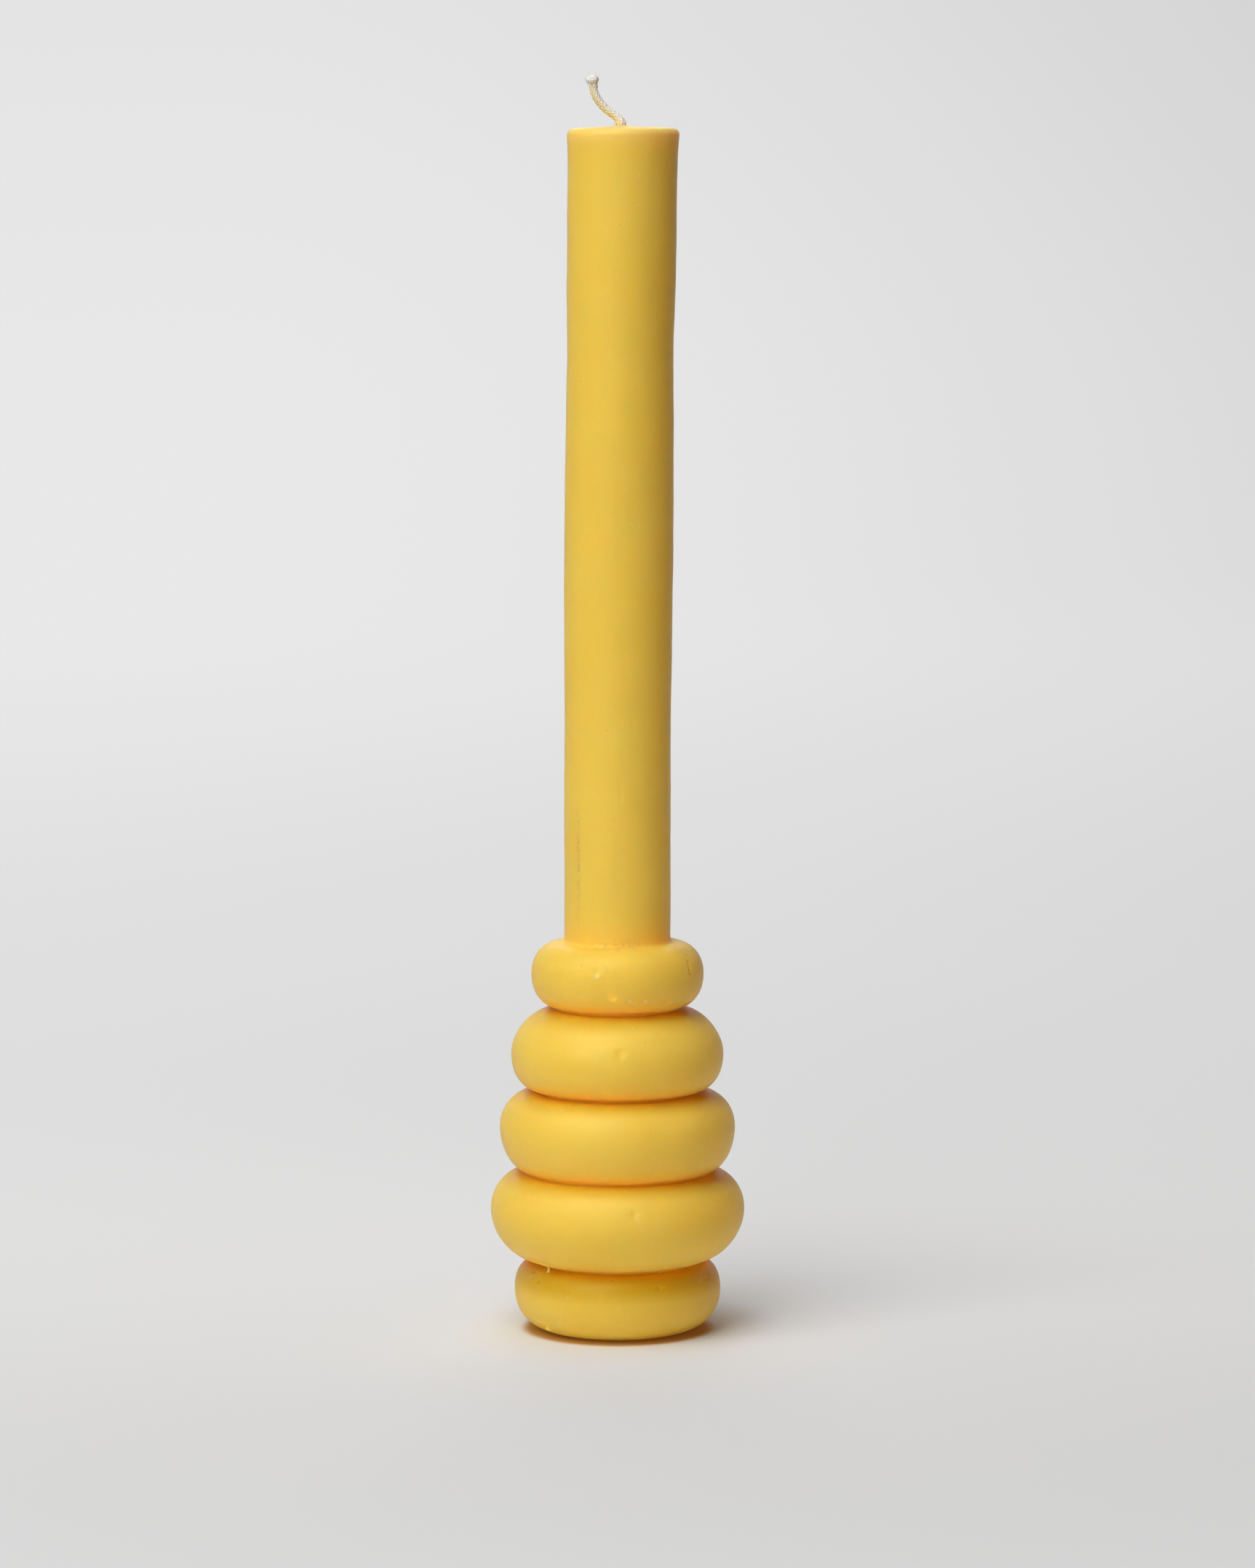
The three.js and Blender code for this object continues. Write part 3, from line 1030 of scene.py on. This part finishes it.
@dataclass
class Wick:
    """Braided cotton wick through the wax, bent over above it, with a frayed tip."""

    wax: WaxBody
    finish: CottonFinish = field(default_factory=CottonFinish)
    recess: float = 0.5 * MM
    bare_route: tuple[tuple[float, float], ...] = (
        (-0.05 * MM, 0.8 * MM),
        (-0.6 * MM, 1.7 * MM),
        (-1.55 * MM, 2.5 * MM),
        (-3.35 * MM, 3.8 * MM),
        (-4.8 * MM, 5.3 * MM),
        (-5.85 * MM, 6.9 * MM),
        (-6.35 * MM, 8.3 * MM),
        (-6.45 * MM, 9.5 * MM),
    )
    carriers: int = 8
    braid_pitch: float = 10.0 * MM
    braid_radius: float = 0.74 * MM
    braid_wave: float = 0.05 * MM
    strand_radius: float = 0.22 * MM
    core_radius: float = 0.62 * MM
    foot_radius: float = 1.12 * MM
    foot_swell: float = 0.28
    foot_height: float = 0.8 * MM
    foot_reach: float = 0.9 * MM
    stub_radius: float = 0.36 * MM
    hidden_step: float = 1.0 * MM
    shown_step: float = 0.12 * MM
    skin_voxel: float = 0.065 * MM
    tuft_height: float = 3.1 * MM
    tuft_half_width: float = 1.95 * MM
    tuft_root: float = 0.72 * MM
    collar_root: float = 0.88 * MM
    ball_radius: float = 1.0 * MM
    ball_offset: Point = (-0.2 * MM, 0.0, 1.05 * MM)
    ball_girth: Point = (1.5, 1.2, 1.3)
    ball_neck: Point = (0.72, 0.8, 1.0)
    ball_neck_height: float = 0.2 * MM
    ball_neck_reach: float = 1.2 * MM
    ball_lumps: tuple[tuple[float, float], ...] = ((1.0 * MM, 0.5 * MM), (0.25 * MM, 0.14 * MM))
    skin_radius: float = 0.93 * MM
    tuft_fibres: int = 90
    collar_fibres: int = 14
    fuzz_fibres: int = 70
    fibre_radius: float = 0.022 * MM
    seed: int = 11

    def bow_at(self, height: float) -> float:
        """Return how far the channel's middle lies off the axis at a height."""
        share = max(0.0, height - self.wax.base_height()) / self.wax.column_height
        return (self.wax.column_bow + self.wax.bore_exit_offset) * min(1.0, share) ** 2

    def hidden_line(self) -> list[Vector]:
        """Lay the centre line from the recessed lower end to just under the wax's top."""
        height = self.recess
        line = []
        while height < self.wax.height() - 1.5 * MM:
            line.append(Vector((self.bow_at(height), 0, height)))
            height += self.hidden_step
        return line

    def bare_line(self) -> list[Vector]:
        """Run a smooth curve from inside the wax up to the neck of the tuft.

        Returns:
            Closely spaced points of a Catmull-Rom curve through the bare route.
        """
        top = self.wax.height()
        exit_place = Vector((self.bow_at(top), 0, top))
        corners = [exit_place - Vector((0, 0, drop)) for drop in (3.5 * MM, 2.2 * MM, 0.9 * MM)]
        corners += [exit_place + Vector((x, 0, z)) for x, z in self.bare_route]
        guide = [*corners, corners[-1] * 2 - corners[-2]]
        points = []
        for a, b, c, d in zip(guide, guide[1:], guide[2:], guide[3:]):
            count = max(2, round((c - b).length / self.shown_step))
            for step in range(count):
                t = step / count
                points.append(
                    0.5 * (2 * b + (c - a) * t + (2 * a - 5 * b + 4 * c - d) * t * t)
                    + 0.5 * (3 * b - a - 3 * c + d) * t * t * t
                )
        points.append(guide[-2])
        return points

    def along(self, line: list[Vector]) -> Iterator[tuple[Vector, Vector, float]]:
        """Walk a centre line and give each point, its sideways direction and its length so far."""
        length = 0.0
        for index, place in enumerate(line):
            before = line[max(0, index - 1)]
            after = line[min(len(line) - 1, index + 1)]
            tangent = (after - before).normalized()
            side = Vector((tangent.z, 0, -tangent.x))
            if index:
                length += (place - before).length
            yield place, side, length

    def foot_girth(self, height: float) -> float:
        """Return how many times its plain width the bare wick has at a height."""
        near_foot = (height - self.wax.height() - self.foot_height) / self.foot_reach
        return 1 + self.foot_swell * math.exp(-near_foot * near_foot)

    def strand_paths(self, line: list[Vector]) -> list[list[Vector]]:
        """Braid two crossing sets of strands over and under each other round a centre line.

        Args:
            line: the centre line that they follow.

        Returns:
            One list of points for each strand.
        """
        depth = Vector((0, 1, 0))
        paths: list[list[Vector]] = [[] for _ in range(2 * self.carriers)]
        for place, side, length in self.along(line):
            turn = 2 * math.pi * length / self.braid_pitch
            wave = self.braid_wave * math.cos(self.carriers * turn)
            swell = self.foot_girth(place.z)
            for strand in range(2 * self.carriers):
                way = 1 if strand % 2 else -1
                angle = 2 * math.pi * (strand // 2) / self.carriers + way * turn
                out = side * math.cos(angle) + depth * math.sin(angle)
                paths[strand].append(place + out * (self.braid_radius + way * wave) * swell)
        return paths

    def tubes(
        self, name: str, paths: list[list[Vector]], radius: float, taper: float, sides: int
    ) -> bpy.types.Object:
        """Sweep round tubes along paths and make them one mesh.

        Args:
            name: the object's name.
            paths: points of each tube.
            radius: radius of each tube at its start.
            taper: share of the radius that is lost by the tube's end.
            sides: number of sides of the tube, an even number from 4.

        Returns:
            The mesh object.
        """
        curve = bpy.data.curves.new(name, "CURVE")
        curve.dimensions = "3D"
        curve.bevel_depth = radius
        curve.bevel_resolution = sides // 2 - 2
        curve.use_fill_caps = True
        for path in paths:
            spline = curve.splines.new("POLY")
            spline.points.add(len(path) - 1)
            for index, (point, place) in enumerate(zip(spline.points, path)):
                point.co = (*place, 1.0)
                point.radius = 1.0 - taper * index / len(path)
        piece = bpy.data.objects.new(name, curve)
        bpy.context.scene.collection.objects.link(piece)
        make_active(piece)
        bpy.ops.object.convert(target="MESH")
        return bpy.context.object

    def foot_line(self, line: list[Vector]) -> list[Vector]:
        """Return the part of the bare line that the wider foot is built on."""
        top = self.wax.height()
        return [place for place in line if abs(place.z - top - 0.4 * MM) < 1.1 * MM]

    def stub_line(self) -> list[Vector]:
        """Return the line of the short strand end that pokes out to the left of the foot."""
        top = self.wax.height()
        root = Vector((self.bow_at(top) - 0.5 * MM, -0.35 * MM, top + 0.75 * MM))
        return [root + Vector((-0.3, -0.04, -0.03 * step)) * step * MM for step in range(5)]

    def build_bare(self, line: list[Vector]) -> bpy.types.Object:
        """Fuse the bare strands and their core into one soft skin that still shows the braid."""
        strands = self.tubes("wick_bare", self.strand_paths(line), self.strand_radius, 0.0, 8)
        core = self.tubes("core", [line], self.core_radius, 0.0, 16)
        foot = self.tubes("foot", [self.foot_line(line)], self.foot_radius, 0.25, 16)
        stub = self.tubes("stub", [self.stub_line()], self.stub_radius, 0.55, 8)
        make_active(strands)
        foot.select_set(True)
        stub.select_set(True)
        core.select_set(True)
        bpy.ops.object.join()
        remesh = strands.modifiers.new("fuse", "REMESH")
        remesh.mode = "VOXEL"
        remesh.voxel_size = self.skin_voxel
        apply_modifier(strands, "fuse")
        smooth = strands.modifiers.new("wax_fill", "SMOOTH")
        smooth.factor = 0.5
        smooth.iterations = 9
        apply_modifier(strands, "wax_fill")
        return strands

    def wavy_fibre(
        self, start: Vector, lean: Vector, rise: Vector, curl: Vector, steps: int
    ) -> list[Vector]:
        """Draw one loose fibre that leans out early, rises and curls once on its way.

        Args:
            start: where the fibre leaves the yarn.
            lean: how far its tip ends up to the side.
            rise: how far its tip ends up along the yarn.
            curl: largest sideways swing of its curl.
            steps: number of straight pieces.

        Returns:
            The fibre's points.
        """
        path = []
        for step in range(steps + 1):
            share = step / steps
            swing = math.sin(2.3 * math.pi * share) * share
            path.append(start + lean * share ** 0.6 + rise * share + curl * swing)
        return path

    def tuft_paths(self, neck: Vector) -> list[list[Vector]]:
        """Fan loose fibres out of the wick's end into a soft brush, wider to its left."""
        chance = random.Random(self.seed)
        paths = []
        for _ in range(self.tuft_fibres):
            turn = chance.uniform(0, 2 * math.pi)
            spread = math.sqrt(chance.random())
            across = Vector((math.cos(turn), math.sin(turn) * 0.75, 0))
            start = neck + across * spread * self.tuft_root - Vector((0, 0, 0.5 * MM))
            wider = 1.12 if across.x < 0 else 0.8
            lean = across * (spread ** 0.7) * self.tuft_half_width * wider
            lean = lean - across * spread * self.tuft_root + Vector((-0.22 * MM, 0, 0))
            reach = self.tuft_height * chance.uniform(0.45, 1.0) * (1.12 - 0.22 * spread)
            curl = Vector((chance.uniform(-1, 1), chance.uniform(-1, 1), chance.uniform(-0.6, 0.3)))
            rise = Vector((0, 0, reach + 0.5 * MM))
            paths.append(self.wavy_fibre(start, lean, rise, curl * 0.55 * MM, 14))
        return paths

    def collar_paths(self, neck: Vector) -> list[list[Vector]]:
        """Turn the cut ends of the outer strands outwards round the neck of the tuft."""
        chance = random.Random(self.seed + 2)
        paths = []
        for index in range(self.collar_fibres):
            turn = 2 * math.pi * (index + chance.uniform(-0.4, 0.4)) / self.collar_fibres
            across = Vector((math.cos(turn), math.sin(turn), 0))
            start = neck + across * self.collar_root - Vector((0, 0, 0.35 * MM))
            lean = across * chance.uniform(0.05, 0.4) * MM
            rise = Vector((0, 0, chance.uniform(0.3, 0.95) * MM))
            paths.append(self.wavy_fibre(start, lean, rise, across * 0.06 * MM, 5))
        return paths

    def build_tuft(self, neck: Vector) -> bpy.types.Object:
        """Make the tuft's loose fibres and the soft, uneven ball of packed cotton inside them.

        Args:
            neck: the end of the bare wick.

        Returns:
            The tuft as one object.
        """
        paths = self.tuft_paths(neck) + self.collar_paths(neck)
        tuft = self.tubes("wick_tuft", paths, self.fibre_radius, 0.6, 4)
        middle = neck + Vector(self.ball_offset)
        deselect_everything()
        bpy.ops.mesh.primitive_ico_sphere_add(
            subdivisions=5, radius=self.ball_radius, location=middle
        )
        ball = bpy.context.object
        bpy.ops.object.transform_apply(location=True, rotation=True, scale=True)
        bpy.ops.object.mode_set(mode="EDIT")
        bpy.ops.mesh.select_all(action="SELECT")
        bpy.ops.transform.resize(value=self.ball_girth, center_override=middle)
        select_vertices(ball, lambda place: place.z < neck.z + self.ball_neck_height)
        bpy.ops.transform.resize(
            value=self.ball_neck,
            center_override=neck,
            use_proportional_edit=True,
            proportional_edit_falloff="SMOOTH",
            proportional_size=self.ball_neck_reach,
        )
        bpy.ops.object.mode_set(mode="OBJECT")
        for grain, strength in self.ball_lumps:
            texture = bpy.data.textures.new("cotton_lumps", type="CLOUDS")
            texture.noise_scale = grain
            lumps = ball.modifiers.new("lumps", "DISPLACE")
            lumps.texture = texture
            lumps.texture_coords = "LOCAL"
            lumps.strength = strength
            apply_modifier(ball, "lumps")
        make_active(tuft)
        ball.select_set(True)
        bpy.ops.object.join()
        return tuft

    def fuzz_paths(self, line: list[Vector]) -> list[list[Vector]]:
        """Raise short loose fibres, most of them on the dry upper side of the bare wick."""
        chance = random.Random(self.seed + 1)
        top = self.wax.height()
        depth = Vector((0, 1, 0))
        shown = [item for item in self.along(line) if item[0].z > top + 0.2 * MM]
        paths = []
        for _ in range(self.fuzz_fibres):
            place, side, _ = shown[chance.randrange(len(shown))]
            around = chance.gauss(0.0, 0.95)
            out = side * math.cos(around) + depth * math.sin(around)
            slide = depth * math.cos(around) - side * math.sin(around)
            tangent = side.cross(depth)
            skin = self.skin_radius * self.foot_girth(place.z)
            drift = tangent * chance.uniform(-0.5, 1.1) + slide * chance.uniform(-0.8, 0.8)
            reach = chance.uniform(0.25, 0.75) * MM
            proud = chance.uniform(0.03, 0.2) * MM
            path = []
            for step in range(6):
                share = step / 5
                rise = skin + proud * math.sin(share * 2.2)
                path.append(place + out * rise + drift * reach * share)
            paths.append(path)
        return paths

    def soak(self, piece: bpy.types.Object, line: list[Vector], soaked: float) -> None:
        """Store how far wax has soaked each vertex, for the cotton material to read.

        Args:
            piece: the mesh to paint.
            line: the bare part's centre line.
            soaked: how soaked the piece is where it faces down and left, from 0 to 1.
        """
        layer = piece.data.attributes.new("soak", "FLOAT", "POINT")
        top = self.wax.height()
        shown = [item for item in self.along(line) if item[0].z > top - 1 * MM]
        guide = shown[::4]
        for vertex in piece.data.vertices:
            if vertex.co.z < top - 1 * MM:
                layer.data[vertex.index].value = soaked
                continue
            place, side, _ = min(guide, key=lambda item: (item[0] - vertex.co).length_squared)
            lean = (vertex.co - place).dot(side) / (1 * MM)
            low = max(0.0, 1 - (vertex.co.z - top) / (1.6 * MM))
            wet = clamp(0.5 - 0.75 * lean - 0.35 * low)
            layer.data[vertex.index].value = soaked * wet

    def build(self) -> list[bpy.types.Object]:
        """Build and dress the hidden braid, the bare braid, the tuft and the loose fibres.

        Returns:
            The finished objects, the hidden braid first.
        """
        bare = self.bare_line()
        neck = bare[-1]
        material = self.finish.build()
        hidden_paths = self.strand_paths(self.hidden_line())
        fuzz_radius = self.fibre_radius * 0.7
        pieces = [
            (self.tubes("wick_braid", hidden_paths, self.strand_radius, 0.0, 6), 1.0),
            (self.build_bare(bare), 1.0),
            (self.build_tuft(neck), 0.0),
            (self.tubes("wick_fuzz", self.fuzz_paths(bare), fuzz_radius, 0.6, 4), 0.3),
        ]
        for piece, soaked in pieces:
            self.soak(piece, bare, soaked)
            piece.data.materials.clear()
            piece.data.materials.append(material)
            make_active(piece)
            bpy.ops.object.shade_smooth()
            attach(piece, "root")
        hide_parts("wick")
        return [piece for piece, _ in pieces]


@dataclass(frozen=True)
class Lamp:
    """One square lamp: its direction from the candle, distance, size, power in watts and colour."""

    name: str
    bearing: float
    elevation: float
    distance: float
    size: float
    power: float
    colour: tuple[float, float, float] = (1.0, 1.0, 1.0)


LAMPS = (
    Lamp("key", -35.0, 50.0, 1.3, 1.0, 13.2),
    Lamp("top", -60.0, 86.0, 2.4, 2.0, 17.0),
    Lamp("front", -25.0, 15.0, 2.4, 1.4, 7.5),
    Lamp("rear", -178.0, 35.0, 2.4, 1.4, 8.0),
    Lamp("warm_side", 85.0, 8.0, 2.4, 1.4, 4.5, (1.0, 0.28, 0.03)),
)


@dataclass
class Studio:
    """Pale sweep, soft lights and the camera."""

    image_width: int = 1725
    image_height: int = 2156
    focal_pixels: float = 8000.0
    sensor: float = 36.0
    camera_place: Point = (2.38 * MM, -1359.1 * MM, 280.5 * MM)
    camera_dip: float = 6.329
    floor_radius: float = 2.4
    turn_radius: float = 0.5
    wall_height: float = 2.0
    aim_height: float = 0.14
    room_colour: Colour = (0.8, 0.8, 0.79, 1.0)
    room_strength: float = 0.03
    rim_corners: int = 96
    turn_rows: int = 16
    lamps: tuple[Lamp, ...] = LAMPS
    finish: SweepFinish = field(default_factory=SweepFinish)

    def place_camera(self) -> None:
        """Set up the long lens at the photograph's viewing angle."""
        data = bpy.data.cameras.new("camera")
        data.sensor_width = self.sensor
        longest = max(self.image_width, self.image_height)
        data.lens = self.sensor * self.focal_pixels / longest
        data.clip_end = 20.0
        camera = bpy.data.objects.new("camera", data)
        camera.location = self.camera_place
        camera.rotation_euler = (math.radians(90 - self.camera_dip), 0, 0)
        bpy.context.scene.collection.objects.link(camera)
        bpy.context.scene.camera = camera

    def build_sweep(self) -> None:
        """Extrude a round floor that curves up into a wall all round, open at the top."""
        deselect_everything()
        bpy.ops.mesh.primitive_circle_add(
            vertices=self.rim_corners,
            radius=self.floor_radius,
            fill_type="NGON",
            location=(0, 0, 0),
        )
        sweep = bpy.context.object
        sweep.name = "sweep"
        bpy.ops.object.mode_set(mode="EDIT")
        bpy.ops.mesh.select_all(action="SELECT")
        bpy.ops.mesh.inset(thickness=self.floor_radius * 0.01)
        rim = self.floor_radius * 0.998
        select_vertices(sweep, lambda place: math.hypot(place.x, place.y) > rim)
        bpy.ops.mesh.select_mode(type="EDGE")
        radius, height = self.floor_radius, 0.0
        steps = range(1, self.turn_rows + 1)
        turn = [step / self.turn_rows * math.pi / 2 for step in steps]
        rows = [
            (
                self.floor_radius + self.turn_radius * math.sin(angle),
                self.turn_radius * (1 - math.cos(angle)),
            )
            for angle in turn
        ]
        rows.append((rows[-1][0], rows[-1][1] + self.wall_height))
        for wider, higher in rows:
            rise = (0, 0, higher - height)
            bpy.ops.mesh.extrude_region_move(TRANSFORM_OT_translate={"value": rise})
            if wider > radius:
                scale = wider / radius
                bpy.ops.transform.resize(value=(scale, scale, 1), center_override=(0, 0, height))
            radius, height = wider, higher
        bpy.ops.mesh.select_mode(type="VERT")
        bpy.ops.mesh.select_all(action="SELECT")
        bpy.ops.mesh.normals_make_consistent(inside=True)
        bpy.ops.object.mode_set(mode="OBJECT")
        bpy.ops.object.shade_smooth()
        sweep.data.materials.append(self.finish.build())

    def add_lamp(self, lamp: Lamp) -> None:
        """Hang one soft square lamp that faces the candle.

        Args:
            lamp: where it hangs, its size, power and colour.
        """
        data = bpy.data.lights.new(lamp.name, "AREA")
        data.shape = "SQUARE"
        data.size = lamp.size
        data.energy = lamp.power
        data.color = lamp.colour
        bearing, rise = math.radians(lamp.bearing), math.radians(lamp.elevation)
        level = lamp.distance * math.cos(rise)
        away = Vector(
            (level * math.sin(bearing), -level * math.cos(bearing), lamp.distance * math.sin(rise))
        )
        aim = Vector((0, 0, self.aim_height))
        piece = bpy.data.objects.new(lamp.name, data)
        piece.location = aim + away
        piece.rotation_euler = (-away).to_track_quat("-Z", "Y").to_euler()
        piece.visible_camera = False
        bpy.context.scene.collection.objects.link(piece)

    def light(self) -> None:
        """Hang the lamps and darken the room above the sweep."""
        for lamp in self.lamps:
            self.add_lamp(lamp)
        world = bpy.data.worlds.new("room")
        world.use_nodes = True
        background = world.node_tree.nodes["Background"]
        background.inputs["Color"].default_value = self.room_colour
        background.inputs["Strength"].default_value = self.room_strength
        bpy.context.scene.world = world
        bpy.context.scene.view_settings.view_transform = "Standard"

    def build(self) -> None:
        """Build the camera, the sweep and the lights."""
        self.place_camera()
        self.build_sweep()
        self.light()


def main() -> None:
    """Build the studio, the wax and the wick, and report each piece."""
    logging.basicConfig(level=logging.INFO, format="%(name)s: %(message)s")
    Studio().build()
    wax = WaxBody()
    pieces = [wax.build(), Drip().build(), *Wick(wax).build()]
    for piece in pieces:
        faces = sum(len(face.vertices) - 2 for face in piece.data.polygons)
        LOG.info("%s has %d triangles", piece.name, faces)


if __name__ == "__main__":
    main()
